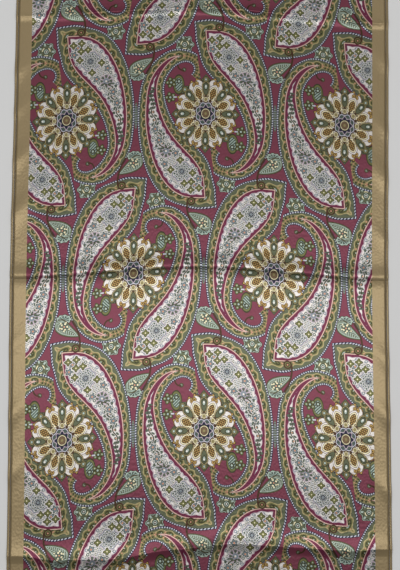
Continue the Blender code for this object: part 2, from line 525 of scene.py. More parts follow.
def boteh(spot):
    """Distance outside the field's edge, border width and half width; the runs along them; the way aside."""
    arcs = spine()
    past = []
    for arc in arcs[1:]:
        ahead = node("VectorMath.DOT_PRODUCT", spot - (*arc["start"], 0.0), arc["ahead"])
        past.append(ahead > 0.0)
    chosen = []
    for fact in ("centre", "out", "size"):
        first, second, third, fourth, fifth = [arc[fact] for arc in arcs]
        body = node("Mix", past[0], first, second, data_type="VECTOR")
        curl = node("Mix", past[3], fourth, fifth, data_type="VECTOR")
        tail = node("Mix", past[2], third, curl, data_type="VECTOR")
        chosen.append(node("Mix", past[1], body, tail, data_type="VECTOR"))
    centre, out, size = chosen
    way = node("VectorMath.SUBTRACT", spot, centre)
    turned = node("SeparateXYZ", node("VectorMath.CROSS_PRODUCT", way, out))[2]
    angle = node("Math.ARCTAN2", turned, node("VectorMath.DOT_PRODUCT", way, out))
    radius, start, _ = node("SeparateXYZ", size)
    run = start + angle * radius
    aside = node("VectorMath.LENGTH", way) - radius
    share = (run - FIELD_LOW_RUN) / (FIELD_HIGH_RUN - FIELD_LOW_RUN)
    rows = [
        (
            (along - FIELD_LOW_RUN) / (FIELD_HIGH_RUN - FIELD_LOW_RUN),
            (half_width - FIELD_LOW) / (FIELD_HIGH - FIELD_LOW),
        )
        for along, half_width in FIELD_HALF_WIDTHS
    ]
    half = node("FloatCurve", share, points=rows) * (FIELD_HIGH - FIELD_LOW) + FIELD_LOW
    slope = node("MapRange", run, -4.0, 17.0, HEAD_SLOPE, 1.0, interpolation_type="SMOOTHSTEP")
    outside = (abs(aside) - half) * slope
    border = node(
        "MapRange", run, 20.0, 130.0, BORDER_AT_HEAD, BORDER_AT_TAIL, interpolation_type="SMOOTHSTEP"
    )
    side = node("Math.SIGN", aside)
    edge_run = start + angle * (radius + side * half)
    bead_run = edge_run + angle * side * border
    shape = node("CombineXYZ", outside, border, half)
    runs = node("CombineXYZ", edge_run, bead_run, run)
    return shape, runs, node("CombineXYZ", aside, 0.0, 0.0)


# %% [markdown]
# Laying the units out
#
# Every point of the cloth belongs to the nearest unit. Wrapping the two coordinates repeats the
# paper, turning them by the sign of one number folds the two botehs onto one, and the closer
# of the two rows wins. After that the details are drawn once, for one boteh, and appear in all.

# %% The unit that a point belongs to
OVAL = 1.17
MEDALLION_REACH = 34.0


def lay_out(across, along):
    """The spot on the unit's own paper, and what boteh() says of it."""
    units = []
    for hand, shift in ((1.0, 0.0), (-1.0, 0.5)):
        x = across - (UNIT_CENTRE[0] + shift * UNIT_ACROSS)
        y = along - (UNIT_CENTRE[1] + shift * UNIT_ALONG)
        x = node("Math.WRAP", x, UNIT_ACROSS / 2, -UNIT_ACROSS / 2) * hand
        y = node("Math.WRAP", y, UNIT_ALONG / 2, -UNIT_ALONG / 2)
        turn = node("Math.SIGN", x + y * FOLD_LEAN)
        spot = node("CombineXYZ", x * turn, y * turn, 0.0)
        shape, runs, sideways = boteh(spot)
        outside, border, _ = node("SeparateXYZ", shape)
        round_off = node("VectorMath.LENGTH", spot * (1.0, 1 / OVAL, 1.0)) - MEDALLION_REACH
        reach = node("Math.MINIMUM", outside - border, round_off)
        units.append((reach, spot, shape, runs, sideways))
    nearer = units[1][0] < units[0][0]
    return [node("Mix", nearer, a, b, data_type="VECTOR") for a, b in zip(units[0][1:], units[1][1:])]


def lay_out_gaps(across, along):
    """The spot on the paper of the gap between two neighbours in a row, turned as the units are."""
    y = along - UNIT_CENTRE[1]
    odd = abs(node("Math.WRAP", y, UNIT_ALONG / 2, -UNIT_ALONG / 2)) > UNIT_ALONG / 4
    x = across - UNIT_CENTRE[0] - (1.0 - odd) * (UNIT_ACROSS / 2)
    x = node("Math.WRAP", x, UNIT_ACROSS / 2, -UNIT_ACROSS / 2) * (1.0 - odd * 2.0)
    y = node("Math.WRAP", y, UNIT_ALONG / 4, -UNIT_ALONG / 4)
    turn = node("Math.SIGN", y)
    return node("CombineXYZ", x * turn, y * turn, 0.0)


# %% [markdown]
# The border of the boteh
#
# From outside to inside: a navy line with a string of pale beads on it, a moss green band, a
# gold band with a waved straw-coloured line, dark lobes that stand on the inner edge, and a
# pink line. Real printing lays the light colours first; here the last colour laid is on top.

# %% Painting the border
TAIL_RUN = 214.0
TIP_RUN = 181.0
DOT_STEP = 3.6
BEAD_STEP = 2.35
LOBE_STEP = 8.8


def paint_border(cloth, shape, runs, sideways):
    """The bands round the boteh's field, and the dotted band of the tail beyond it."""
    outside, border, _ = node("SeparateXYZ", shape)
    _, bead_run, run = node("SeparateXYZ", runs)
    rim = outside - border
    live = run < TAIL_RUN
    cloth = paint(cloth, (NAVY, rim < 1.2, live))
    bead = in_row(bead_run, BEAD_STEP, rim)
    cloth = paint(
        cloth,
        (BEAD, node("VectorMath.LENGTH", bead) < 0.7, live),
        (MOSS, rim < -0.9, live),
    )
    scale = border / BORDER_AT_HEAD
    swing = node("Math.COSINE", run * (TURN / LOBE_STEP))
    wave = outside - scale * (swing * 0.9 + 5.5)
    cloth = paint_steps(cloth, wave, (STRAW, 0.55), (GOLD, -0.45), only=(live,))
    lobe_run = node("Math.WRAP", run, LOBE_STEP / 2, -LOBE_STEP / 2)
    lobe = node("CombineXYZ", lobe_run / 3.5, (outside - 0.8) / (scale * 4.0), 0.0)
    cloth = paint_steps(
        cloth, node("VectorMath.LENGTH", lobe),
        (OLIVE, 1.18), (LEAF, 0.94),
        only=(live,),
    )
    seed = in_row(run + 1.0, LOBE_STEP / 4, outside - scale * 2.4)
    cloth = paint(
        cloth,
        (OLIVE, node("VectorMath.LENGTH", seed) < 0.75, live),
        (PALE, node("VectorMath.DISTANCE", lobe, (-0.3, 0.1, 0.0)) < 0.2, live),
    )
    trough = in_row(run + LOBE_STEP / 2, LOBE_STEP, outside - scale * 2.6)
    cloth = paint(cloth, (SALMON, node("VectorMath.LENGTH", trough) < 0.8, live))
    cloth = paint_steps(cloth, outside, (BROWN, 0.9), (PINK, 0.5), only=(live,))
    aside, _, _ = node("SeparateXYZ", sideways)
    beyond = between(run, TIP_RUN, TAIL_RUN)
    cloth = paint(cloth, (GOLD, abs(aside) < 3.0, beyond))
    seed = in_row(run, DOT_STEP, abs(aside) - 1.9)
    cloth = paint(cloth, (LEAF, node("VectorMath.LENGTH", seed) < 1.05, beyond))
    dot = in_row(run + DOT_STEP / 2, DOT_STEP, aside)
    return paint_steps(
        cloth, node("VectorMath.LENGTH", dot),
        (OLIVE, 1.3), (SALMON, 0.75),
        only=(beyond,),
    )


# %% [markdown]
# The field of the boteh
#
# The field is milk white inside a wine red band with a scalloped lilac edge. A dense slate
# rosette sits in the head with olive stars and small grey flowers about it, and below it come
# a daisy and a vine that grows into the narrow end. All the stars are one drawing, repeated at
# the nearest of a list of places, and so are the flowers and the small rings.

# %% Places of the small flowers, in squares
ROSETTE = (23.2, 59.2)
DAISY = (39.5, 37.8)
OLIVE_STARS = (
    (13.5, 70.0), (20.6, 71.4), (12.3, 60.9), (34.6, 57.1), (25.0, 47.4), (5.7, 76.3), (14.0, 78.2),
)
GREY_FLOWERS = ((6.6, 66.6), (40.8, 51.0), (29.8, 40.3), (46.9, 26.3), (50.9, 14.6), (10.2, 73.6))
RINGS = (
    (9.3, 57.2), (40.2, 57.0), (23.2, 75.2), (25.0, 42.0), (44.0, 46.5), (37.2, 31.0), (32.0, 36.4),
    (52.8, 23.6),
)
SCALLOP_STEP = 8.6
HEAD_RUN = 60.0


# %% Painting the edge of the field and the twigs
def paint_field_edge(cloth, spot, shape, runs):
    """Wine band, scalloped lilac edge, milk white ground, edge rings and fine twigs."""
    outside, _, half = node("SeparateXYZ", shape)
    edge_run, _, run = node("SeparateXYZ", runs)
    depth = outside * -1.0
    cloth = paint(cloth, (WINE, depth > 0.5))
    wave = abs(node("Math.SINE", edge_run * (math.pi / SCALLOP_STEP)))
    narrow = half * 0.42 + 1.9 + (run < HEAD_RUN) * 10.0
    limit = node("Math.MINIMUM", 4.0 - 1.2 * wave, narrow)
    cloth = paint(
        cloth,
        (LILAC, depth > limit),
        (MILK, depth > limit + node("Math.MINIMUM", half * 0.1, 1.1)),
    )
    wide = half > 9.0
    ring = in_row(edge_run + SCALLOP_STEP / 2, SCALLOP_STEP, depth - 5.0)
    cloth = paint(cloth, (SLATE, abs(node("VectorMath.LENGTH", ring) - 1.2) < 0.5, wide))
    x, y, _ = node("SeparateXYZ", spot)
    bent = node("Math.SINE", y * 1.3) * 1.4
    twig = node("Math.SINE", x * 1.9 + bent) * node("Math.SINE", y * 1.7 - x * 0.6)
    inside = (depth > 6.3) * wide
    return paint(cloth, (SLATE, twig > 0.3, inside), (MOSS, twig < -0.42, inside))


# %% Painting the rosette and the daisy
def paint_rosette(cloth, spot):
    """A dense round flower: rings of dark petals on white, about a grey heart."""
    way = spot - (*ROSETTE, 0.0)
    far = node("VectorMath.LENGTH", way)
    angle = bearing(way)
    petals = far + 0.6 * node("Math.COSINE", angle * 8.0)
    cloth = paint(
        cloth,
        (LILAC, petals < 10.6),
        (SLATE, between(petals, 8.8, 9.9)),
        (MILK, petals < 8.8),
    )
    rows = node("Math.SINE", far * (TURN / 4.4)) * node("Math.COSINE", angle * 12.0)
    return paint(
        cloth,
        (TEAL, rows > 0.1, petals < 8.4),
        (SLATE, rows < -0.35, petals < 8.4),
        (NAVY, between(far, 1.6, 2.4)),
        (SLATE, far < 0.9),
    )


def paint_daisy(cloth, spot):
    """Eight dark petals round a lilac heart."""
    way = spot - (*DAISY, 0.0)
    far = node("VectorMath.LENGTH", way)
    swing = node("Math.COSINE", bearing(way) * 8.0)
    cloth = paint(
        cloth,
        (LILAC, far < 7.0),
        (TEAL, between(far, 3.3, 6.2), swing > -0.45),
        (MOSS, between(far, 4.2, 5.4), swing > 0.4),
    )
    return paint_steps(cloth, far, (SLATE, 3.0), (MILK, 1.0))


# %% Painting the small flowers, stars and rings
def paint_small_flowers(cloth, spot):
    """Grey flowers with five petals, olive stars with four points, and rings."""
    way = way_from_nearest(spot, GREY_FLOWERS)
    far = node("VectorMath.LENGTH", way)
    edge = far - 0.8 * node("Math.COSINE", bearing(way) * 5.0)
    cloth = paint_steps(cloth, edge, (MILK, 3.9), (TEAL, 3.3))
    cloth = paint(cloth, (SLATE, between(edge, 0.9, 2.2)), (SALMON, far < 1.0))
    way = way_from_nearest(spot, OLIVE_STARS)
    far = node("VectorMath.LENGTH", way)
    edge = far - 0.75 * node("Math.COSINE", bearing(way) * 4.0)
    cloth = paint_steps(cloth, edge, (MILK, 4.1), (LEAF, 3.4), (OLIVE, 2.6))
    cloth = paint(cloth, (CREAM, far < 0.7))
    far = node("VectorMath.LENGTH", way_from_nearest(spot, RINGS))
    return paint(cloth, (MILK, far < 2.1), (TEAL, abs(far - 1.2) < 0.45))


# %% Painting the vine in the narrow end
VINE_START = 64.0
VINE_END = 132.0
VINE_STEP = 17.0


def paint_vine(cloth, shape, runs, sideways):
    """A dark stem that swings from side to side, with a leaf on both sides of every bend."""
    _, _, half = node("SeparateXYZ", shape)
    _, _, run = node("SeparateXYZ", runs)
    aside, _, _ = node("SeparateXYZ", sideways)
    live = between(run, VINE_START, VINE_END)
    off = abs(aside - node("Math.SINE", run * (TURN / VINE_STEP)) * half * 0.2)
    cloth = paint(cloth, (LEAF, off < 0.6, live))
    leaf_run = node("Math.WRAP", run, VINE_STEP / 4 / 2, -VINE_STEP / 4 / 2)
    leaf = node("CombineXYZ", leaf_run / 1.6, (off - half * 0.27) / 1.25, 0.0)
    cloth = paint_steps(cloth, node("VectorMath.LENGTH", leaf), (TEAL, 1.0), (MOSS, 0.45), only=(live,))
    berry = in_row(run + VINE_STEP / 4, VINE_STEP / 2, aside)
    return paint(cloth, (SALMON, node("VectorMath.LENGTH", berry) < 0.8, live, half > 7.0))


# %% [markdown]
# The medallion
#
# The medallion repeats its parts eight times round an oval eye. Folding the bearing into an
# eighth turn, and then about the middle of that eighth, leaves one half of one petal to draw.
# Petal coordinates run out along a petal's middle, leaf coordinates along the leaf between two.

# %% Painting the medallion
EIGHTH = math.pi / 4


def paint_medallion(cloth, spot):
    """Spurs, pairs of white commas, palmettes, leaves and the star in the hub."""
    flat = spot * (1.0, 1 / OVAL, 1.0)
    far = node("VectorMath.LENGTH", flat)
    angle = bearing(flat)
    swing = node("Math.COSINE", angle * 8.0)
    inside = abs(node("Math.WRAP", angle - EIGHTH / 2, EIGHTH / 2, -EIGHTH / 2))
    petal = node("CombineXYZ", far * node("Math.COSINE", inside), far * node("Math.SINE", inside), 0.0)
    other = EIGHTH / 2 - inside
    leaf = node("CombineXYZ", far * node("Math.COSINE", other), far * node("Math.SINE", other), 0.0)
    cloth = paint_spurs(cloth, leaf)
    cloth = paint_commas(cloth, petal, far)
    cloth = paint(cloth, (BROWN, far < 19.5))
    flame = node("VectorMath.LENGTH", (petal - (14.4, 0.0, 0.0)) * (0.6, 1.0, 1.0))
    cloth = paint(cloth, (GOLD, flame < 2.3))
    cloth = paint_palmettes(cloth, petal)
    cloth = paint_leaves(cloth, leaf)
    return paint_hub(cloth, far, swing, petal, leaf)


def paint_spurs(cloth, leaf):
    """A dark green lozenge of berries beyond each leaf."""
    u, v, _ = node("SeparateXYZ", leaf)
    spur = abs(u - 29.4) + abs(v) * 1.05
    cloth = paint(cloth, (LEAF, spur < 5.6))
    berry = in_diamonds(u, v, 2.4)
    return paint(cloth, (MOSS, spur < 5.2, node("VectorMath.LENGTH", berry) < 0.95))


def paint_commas(cloth, petal, far):
    """Two curled white commas, outlined in amber and brown, on every petal."""
    hood = node("VectorMath.DISTANCE", petal, (27.2, 3.2, 0.0)) - 4.3
    flame = node("VectorMath.LENGTH", (petal - (30.4, 2.9, 0.0)) * (0.55, 1.0, 1.0)) - 1.5
    outline = node("Math.MINIMUM", hood, flame)
    cloth = paint_steps(cloth, outline, (BROWN, 0.0), (AMBER, -0.5))
    body = node("VectorMath.LENGTH", (petal - (25.4, 4.3, 0.0)) * (0.7, 1.0, 1.0)) - 0.4
    comma = node("Math.MINIMUM", body, node("VectorMath.DISTANCE", petal, (28.2, 3.3, 0.0)) + 0.3)
    cloth = paint_steps(cloth, comma, (BROWN, 2.9), (MILK, 2.45))
    eye = node("VectorMath.DISTANCE", petal, (27.9, 1.6, 0.0))
    cloth = paint_steps(cloth, eye, (BROWN, 2.0), (AMBER, 1.5), (BROWN, 0.6))
    _, v, _ = node("SeparateXYZ", petal)
    return paint(cloth, (BROWN, v < 0.4, between(far, 22.0, 29.0)))


def paint_palmettes(cloth, petal):
    """Pointed brown palmettes sown with amber dots, with a cream outline and curled ends."""
    fan = node("VectorMath.DISTANCE", petal, (18.6, -3.2, 0.0))
    cloth = paint_steps(cloth, fan, (BROWN, 9.5), (MILK, 9.1), (BROWN, 7.9), (CREAM, 7.5), (BROWN, 6.5))
    u, v, _ = node("SeparateXYZ", petal)
    seed = node("VectorMath.LENGTH", in_diamonds(u, v, 2.5))
    cloth = paint(cloth, (AMBER, fan < 6.2, seed < 0.85))
    curl = node("VectorMath.DISTANCE", petal, (15.1, 3.9, 0.0))
    return paint_steps(cloth, curl, (CREAM, 2.0), (BROWN, 1.1), (CREAM, 0.4))


def paint_leaves(cloth, leaf):
    """Dark leaves between the palmettes, each with a pale streak, a white dot and a ring."""
    blade = node("VectorMath.DISTANCE", leaf, (21.6, -5.2, 0.0)) - 8.6
    tip = node("Math.MINIMUM", blade, node("VectorMath.DISTANCE", leaf, (24.4, 0.0, 0.0)) - 3.7)
    cloth = paint_steps(cloth, tip, (BROWN, 0.6), (STRAW, 0.2), (LEAF, -0.4), (MOSS, -1.1))
    streak = node("VectorMath.LENGTH", (leaf - (23.6, 0.0, 0.0)) * (0.62, 1.0, 1.0))
    cloth = paint_steps(cloth, streak, (LEAF, 1.9), (PALE, 1.2))
    cloth = paint(cloth, (MILK, node("VectorMath.DISTANCE", leaf, (24.2, 0.0, 0.0)) < 0.8))
    ring = node("VectorMath.DISTANCE", leaf, (30.1, 0.0, 0.0))
    return paint_steps(cloth, ring, (LEAF, 2.7), (GOLD, 2.2), (LEAF, 1.5), (PALE, 1.0))


def paint_hub(cloth, far, swing, petal, leaf):
    """Gold drops, a scalloped ring, a dark star and the oval eye."""
    drop = node("VectorMath.DISTANCE", leaf, (12.4, 0.0, 0.0))
    cloth = paint_steps(cloth, drop, (BROWN, 2.5), (CREAM, 2.1), (GOLD, 1.6))
    cloth = paint(
        cloth,
        (BROWN, node("VectorMath.DISTANCE", petal, (11.8, 0.0, 0.0)) < 1.5),
        (BROWN, node("VectorMath.DISTANCE", leaf, (15.6, 0.0, 0.0)) < 1.0),
    )
    scallop = far + 0.6 * swing
    cloth = paint_steps(cloth, scallop, (BROWN, 10.3), (BEAD, 9.8), (NAVY, 9.1), (TEAL, 8.6))
    star = far - 1.0 * swing
    cloth = paint(cloth, (LILAC, between(star, 6.6, 7.4)), (NAVY, star < 6.6))
    return paint_steps(cloth, far, (LEAF, 5.0), (CREAM, 4.3), (BROWN, 3.7), (UMBER, 3.2), (GOLD, 1.2))


# %% [markdown]
# What grows on the plain ground
#
# Between the large forms the ground is a plain burgundy with a few growths: a round bud under
# each tail, a leaf with a hooked stem in each gap, and clovers, a bud stem and a tendril beside
# the medallion. They are painted before the borders where a border covers part of them.

# %% Painting the bud under the tail
BUD = (48.5, 71.4)


def paint_bud(cloth, gap):
    """A round bud with pale petals about a ring flower."""
    way = (gap - (*BUD, 0.0)) * (1.0, 0.94, 1.0)
    far = node("VectorMath.LENGTH", way)
    angle = bearing(way)
    swing = node("Math.COSINE", angle * 7.0)
    edge = far - 1.0 * swing
    cloth = paint_steps(cloth, edge, (LEAF, 9.3), (PALE, 8.6), (LEAF, 8.0), (MOSS, 7.0))
    return paint(
        cloth,
        (PALE, between(edge, 4.6, 7.4), swing > 0.6),
        (CREAM, between(far, 3.4, 4.4), node("Math.SINE", angle * 3.0) > 0.1),
        (LEAF, far < 3.0),
        (PALE, abs(far - 1.9) < 0.4),
        (MILK, far < 0.7),
    )


# %% Painting the growths beside the medallion
BUD_STEM = (27.6, -30.2)
CLOVERS = ((36.0, -17.2), (35.4, -32.6))
TENDRIL = (22.4, -45.4)


def paint_growths(cloth, spot):
    """A hatched bud stem, two clovers and a tendril."""
    x, y, _ = node("SeparateXYZ", spot)
    stem = node("VectorMath.LENGTH", (spot - (*BUD_STEM, 0.0)) * (1.0, 0.55, 1.0))
    cloth = paint_steps(cloth, stem, (LEAF, 5.8), (OLIVE, 5.0), (TEAL, 3.9))
    hatch = node("Math.SINE", (x - y) * 2.1)
    cloth = paint(cloth, (PALE, stem < 3.5, hatch > 0.35))
    cloth = paint_steps(
        cloth, node("VectorMath.DISTANCE", spot, (27.4, -33.4, 0.0)),
        (LEAF, 2.4), (PALE, 1.1),
    )
    way = way_from_nearest(spot, CLOVERS)
    far = node("VectorMath.LENGTH", way)
    swing = node("Math.COSINE", bearing(way) * 5.0)
    edge = far - 0.9 * swing
    cloth = paint(
        cloth,
        (LEAF, edge < 5.2),
        (OLIVE, between(edge, 1.6, 4.4), swing > -0.3),
        (PALE, between(edge, 2.4, 3.3), swing > 0.6),
        (PALE, far < 1.0),
        (BEAD, between(x, 29.5, 33.0), abs(y + 17.4) < 0.7),
    )
    far = node("VectorMath.DISTANCE", spot, (*TENDRIL, 0.0))
    cloth = paint_steps(cloth, far, (BROWN, 2.3), (MOSS, 1.7), (PALE, 0.6))
    way = spot - (TENDRIL[0] + 0.8, TENDRIL[1] - 5.0, 0.0)
    hook = (abs(node("VectorMath.LENGTH", way) - 5.6) < 0.75) * between(bearing(way), -0.6, 1.75)
    return paint(cloth, (BROWN, hook))


# %% Painting the leaf in the gap
LEAF_TIP = (16.9, 58.7)
LEAF_LEAN = math.radians(33)
LEAF_LOW_RUN = -1.0
LEAF_HIGH_RUN = 34.0
LEAF_LOW = -4.0
LEAF_HIGH = 8.0
LEAF_HALF_WIDTHS = (
    (-1, -1.0), (0, 0.0), (4, 2.2), (9, 4.2), (14, 5.7), (19, 6.6), (23, 6.4), (26, 4.6),
    (28, 1.6), (29, -1.0), (34, -4.0),
)
LEAF_EYE = (1.6, 48.2)
LEAF_SEEDS = ((-1.8, 44.6), (3.4, 44.0), (-2.6, 49.4), (6.6, 50.6), (1.2, 52.4))
LEAF_FRILL = (1.0, 40.8)
SPINDLE_HALF_WIDTH = 1.7
SPINDLE_HALF_LENGTH = 14.0


def paint_gap_leaf(cloth, gap):
    """A small leaf with a frill, ribs towards its tip and a ring flower in its round end."""
    across_gap, along_gap, _ = node("SeparateXYZ", gap)
    spindle = node("VectorMath.LENGTH", gap * (1 / SPINDLE_HALF_WIDTH, 1 / SPINDLE_HALF_LENGTH, 1.0))
    cloth = paint(cloth, (MOSS, spindle < 1.0))
    bead_run = node("Math.WRAP", along_gap, BEAD_STEP / 2, -BEAD_STEP / 2)
    bead = node("CombineXYZ", abs(across_gap) - 0.9, bead_run, 0.0)
    cloth = paint(cloth, (SLATE, node("VectorMath.LENGTH", bead) < 0.7, spindle < 0.95))
    way = (gap - (*LEAF_FRILL, 0.0)) * (0.62, 1.0, 1.0)
    far = node("VectorMath.LENGTH", way) - 0.35 * node("Math.COSINE", bearing(way) * 9.0)
    cloth = paint_steps(cloth, far, (LEAF, 5.0), (PALE, 4.4), (TEAL, 3.7))
    cloth = paint(cloth, (PALE, far < 3.7, node("Math.COSINE", bearing(way) * 9.0) > 0.55))
    way = gap - (*LEAF_TIP, 0.0)
    axis = (-math.cos(LEAF_LEAN), -math.sin(LEAF_LEAN), 0.0)
    run = node("VectorMath.DOT_PRODUCT", way, axis)
    aside = node("VectorMath.DOT_PRODUCT", way, (-axis[1], axis[0], 0.0))
    rows = [
        (
            (along - LEAF_LOW_RUN) / (LEAF_HIGH_RUN - LEAF_LOW_RUN),
            (half_width - LEAF_LOW) / (LEAF_HIGH - LEAF_LOW),
        )
        for along, half_width in LEAF_HALF_WIDTHS
    ]
    share = (run - LEAF_LOW_RUN) / (LEAF_HIGH_RUN - LEAF_LOW_RUN)
    half = node("FloatCurve", share, points=rows) * (LEAF_HIGH - LEAF_LOW) + LEAF_LOW
    bend = abs(aside + node("Math.SINE", run * 0.11) * 1.2)
    edge = bend - half
    cloth = paint_steps(cloth, edge, (BROWN, 0.7), (MOSS, 0.1), (PALE, -1.0), (MOSS, -1.7))
    ribs = node("Math.SINE", (run + bend * 0.9) * (TURN / 2.4))
    cloth = paint(cloth, (PALE, edge < -1.9, ribs > 0.35))
    way = gap - (*LEAF_EYE, 0.0)
    far = node("VectorMath.LENGTH", way)
    swing = node("Math.COSINE", bearing(way) * 5.0)
    return paint(
        cloth,
        (TEAL, far < 4.4, edge < -0.9),
        (CREAM, abs(far - 2.9) < 0.8, swing > 0.0),
        (SALMON, far < 0.9),
        (CREAM, node("VectorMath.LENGTH", way_from_nearest(gap, LEAF_SEEDS)) < 0.75),
    )


# %% Painting the hooked stem beside the leaf
HOOK = (13.2, 70.4)


def paint_hooked_stem(cloth, gap):
    """A brown stem that ends in a curl on the next boteh's border."""
    x, y, _ = node("SeparateXYZ", gap)
    lean = 17.4 - (y - 66.0) * (y - 66.0) * 0.014
    cloth = paint(cloth, (BROWN, abs(x - lean) < 0.95, between(y, 42.0, 71.0)))
    far = node("VectorMath.DISTANCE", gap, (*HOOK, 0.0))
    return paint(
        cloth,
        (OLIVE, far < 3.6),
        (BROWN, abs(far - 3.5) < 0.75),
        (BROWN, abs(far - 1.4) < 0.5),
        (SALMON, far < 0.8),
    )


# %% The whole print
def draw_print(across, along):
    """The colour of the print at a place on the flat cloth, in squares."""
    spot, shape, runs, sideways = lay_out(across, along)
    gap = lay_out_gaps(across, along)
    cloth = node("Mix", 0.0, GROUND, GROUND, data_type="RGBA")
    cloth = paint_bud(cloth, gap)
    cloth = paint_growths(cloth, spot)
    cloth = paint_border(cloth, shape, runs, sideways)
    cloth = paint_field_edge(cloth, spot, shape, runs)
    cloth = paint_rosette(cloth, spot)
    cloth = paint_daisy(cloth, spot)
    cloth = paint_vine(cloth, shape, runs, sideways)
    cloth = paint_small_flowers(cloth, spot)
    cloth = paint_medallion(cloth, spot)
    cloth = paint_gap_leaf(cloth, gap)
    return paint_hooked_stem(cloth, gap)


# %% [markdown]
# Printed polyester satin
#
# Satin floats its warp over several wefts, so it is smooth along the warp and shines in a soft
# broad band. The yarns are about 0.1 mm, far below a pixel here, so the bump is drawn coarser:
# streaks 1.2 mm wide along the warp and faint slubs across it. The gold band is the same cloth
# in one colour. The reverse is duller and its print paler, as dye only partly goes through.

# %% The finish of the cloth
PRINTED_HALF_WIDTH = 173.5
PLAIN_GOLD = "#a4916f"
PLAIN_GOLD_DEEP = "#96835f"
REVERSE_VEIL = "#b7aa9c"
FILAMENT_SHINE = 0.35
SATIN_ROUGHNESS = 0.34
POLYESTER_IOR = 1.57
SATIN_SPECULAR = 0.15
SATIN_FUZZ = 0.06
FUZZ_ROUGHNESS = 0.4
VEIL_SHARE = 0.45
CLOTH_BUMP = 0.6
HEM_BUMP = 0.4


def new_finish(name):
    """An empty material that node() draws on, and its shader."""
    finish = bpy.data.materials.new(name)
    finish.use_nodes = True
    board["tree"] = finish.node_tree
    return finish, finish.node_tree.nodes["Principled BSDF"]


def weave_bump(across, along, strength):
    """Streaks along the warp and slubs across it, from places in millimetres."""
    warp = node("TexNoise", node("CombineXYZ", across / 1.2, along / 26.0, 0.0), None, 1.0, 3.0)[0]
    weft = node("TexNoise", node("CombineXYZ", across / 40.0, along / 1.6, 3.0), None, 1.0, 2.0)[0]
    crumple = node("TexNoise", node("CombineXYZ", across / 34.0, along / 46.0, 7.0), None, 1.0, 3.0)[0]
    height = warp * 0.02 + weft * 0.012 + crumple * 0.45
    return node("Bump", strength, MM, None, height)


def set_satin(shader):
    """Gives a shader the gloss of this satin, the same all over."""
    shader.inputs["Metallic"].default_value = FILAMENT_SHINE
    shader.inputs["Roughness"].default_value = SATIN_ROUGHNESS
    shader.inputs["IOR"].default_value = POLYESTER_IOR
    shader.inputs["Specular IOR Level"].default_value = SATIN_SPECULAR
    shader.inputs["Sheen Weight"].default_value = SATIN_FUZZ
    shader.inputs["Sheen Roughness"].default_value = FUZZ_ROUGHNESS


def make_printed_satin():
    """Satin with the print in its middle and the plain gold band round it."""
    finish, shader = new_finish("printed polyester satin")
    flat = node("Attribute", attribute_name="laid_flat")[1]
    across_mm, along_mm, face = node("SeparateXYZ", flat)
    square_mm = SQUARE / MM
    across = across_mm / square_mm
    along = along_mm / square_mm
    printed = abs(across) < PRINTED_HALF_WIDTH
    end = LENGTH / 2 / SQUARE - (WIDTH / 2 / SQUARE - PRINTED_HALF_WIDTH)
    printed = printed * (abs(along) < end)
    colour = draw_print(across, along)
    shade = node("TexNoise", flat, None, 0.02, 2.0)[0]
    plain = node("Mix", shade, PLAIN_GOLD_DEEP, PLAIN_GOLD, data_type="RGBA")
    colour = node("Mix", printed, plain, colour, data_type="RGBA")
    veiled = node("Mix", VEIL_SHARE, colour, REVERSE_VEIL, data_type="RGBA")
    colour = node("Mix", face, veiled, colour, data_type="RGBA")
    tree = board["tree"]
    tree.links.new(colour.socket, shader.inputs["Base Color"])
    bump = weave_bump(across_mm, along_mm, CLOTH_BUMP)
    tree.links.new(bump.socket, shader.inputs["Normal"])
    set_satin(shader)
    print("nodes in the print:", len(tree.nodes))
    return finish


PRINTED_SATIN = make_printed_satin()

# %% [markdown]
# The cloth
#
# The cloth is a grid on the flat shawl whose rows stand closer together where it is creased and
# whose columns do so in the puckered borders. Each point is then moved to its place on the
# table. Solidify gives it a thin wall, so that it has a reverse and an edge like real cloth.

# %% Rows and columns of the cloth
ROW_SPACING = 7.2 * MM
COLUMN_SPACING = 7.2 * MM
BORDER_COLUMN_SPACING = 3.6 * MM
BORDER_BAND = 62 * MM
CREASE_STEPS = tuple(step * MM for step in (0.0, 0.6, 1.2, 1.9, 2.8, 4.0, 5.5, 7.5, 10, 13, 17, 22, 28, 35))
# The near crease wanders, so rows stand close together over all the length that it takes up.
WANDER_ROWS = 28
WANDER_ROW_STEP = 1.5 * MM


def filled(marks, low, high, spacing):
    """The marks between low and high, with more between them where they are far apart."""
    inside = sorted({round(mark, 6) for mark in marks if low < mark < high} | {low, high})
    stations = [inside[0]]
    for start, stop in zip(inside, inside[1:]):
        steps = max(1, round((stop - start) / spacing))
        stations += [start + (stop - start) * step / steps for step in range(1, steps + 1)]
    return stations


def row_stations(end, spacing):
    """Places along the length, closer together at the creases."""
    marks = [
        crease + side * step
        for crease in (FAR_CREASE, MIDDLE_CREASE, NEAR_CREASE)
        for step in CREASE_STEPS
        for side in (-1, 1)
    ]
    marks += [NEAR_CREASE - step * WANDER_ROW_STEP for step in range(1, WANDER_ROWS)]
    return filled(marks, -end, end, spacing)


def column_stations(end):
    """Places across the width, closer together in the two borders."""
    inner = end - BORDER_BAND
    borders = filled([], inner, end, BORDER_COLUMN_SPACING)
    middle = filled([], -inner, inner, COLUMN_SPACING)
    return [-across for across in reversed(borders[1:])] + middle + borders[1:]


# %% The grid, laid down
CLOTH_WALL = 0.8 * MM
CLOTH_LIFT = 0.1 * MM
FACES_UP = 0.3


def clear_selection():
    """Deselects everything, because an operator acts on all that is selected."""
    if bpy.context.object and bpy.context.object.mode != "OBJECT":
        bpy.ops.object.mode_set(mode="OBJECT")
    bpy.ops.object.select_all(action="DESELECT")


